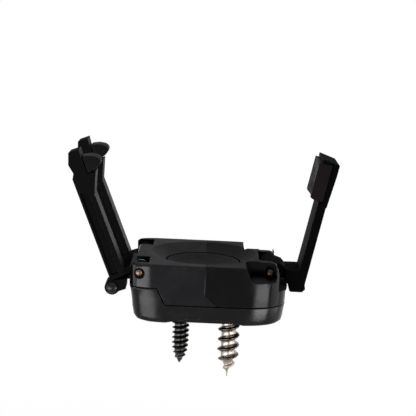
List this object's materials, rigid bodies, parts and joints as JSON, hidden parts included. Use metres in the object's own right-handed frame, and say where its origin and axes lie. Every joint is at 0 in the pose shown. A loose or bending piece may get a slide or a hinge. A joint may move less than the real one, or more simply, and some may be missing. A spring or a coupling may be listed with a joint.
{
  "type": "golf ball pickup",
  "caption": "Folding three-prong claw that screws into the end of a club's grip and lifts a ball without bending down.",
  "frame": {"origin": "centre of the base's bottom face, where it sits on the end of the grip", "axes": "+Z out of the grip towards the ball, +X from the forked prongs to the single prong, Y along the hinge pins"},
  "size_m": [0.0518, 0.0258, 0.0465],
  "materials": {
    "housing_plastic": "satin gloss moulded plastic",
    "prong_plastic": "satin gloss moulded plastic",
    "pad_rubber": "matte",
    "pin_steel": "copper washed",
    "washer_steel": "spring temper",
    "bar_steel": "blackened",
    "black_steel": "blackened",
    "bright_steel": "nickel plated"
  },
  "bodies": {
    "base": {"base_cup": "housing_plastic", "left_housing": "housing_plastic", "right_housing": "housing_plastic", "ball_seat": "housing_plastic", "left_hinge_pin": "pin_steel", "right_hinge_pin": "pin_steel", "left_front_washer": "washer_steel", "left_rear_washer": "washer_steel", "right_front_washer": "washer_steel", "right_rear_washer": "washer_steel", "black_grip_screw": "black_steel", "bright_grip_screw": "bright_steel", "housing_screw_1": "black_steel", "housing_screw_2": "black_steel", "housing_screw_3": "black_steel", "housing_screw_4": "black_steel"},
    "left_fork": {"left_front_prong": "prong_plastic", "left_rear_prong": "prong_plastic", "left_front_pad": "pad_rubber", "left_rear_pad": "pad_rubber", "fork_heel_bar": "bar_steel"},
    "right_arm": {"right_prong": "prong_plastic", "right_pad": "pad_rubber"}
  },
  "joints": [
    {"name": "left_fork_fold", "type": "hinge", "parent": "base", "child": "left_fork", "pos_m": [-0.0133, 0, 0.0095], "axis": [0, 1, 0], "range_deg": [-5, 109]},
    {"name": "right_arm_fold", "type": "hinge", "parent": "base", "child": "right_arm", "pos_m": [0.0118, 0, 0.0095], "axis": [0, -1, 0], "range_deg": [-4, 101]}
  ]
}
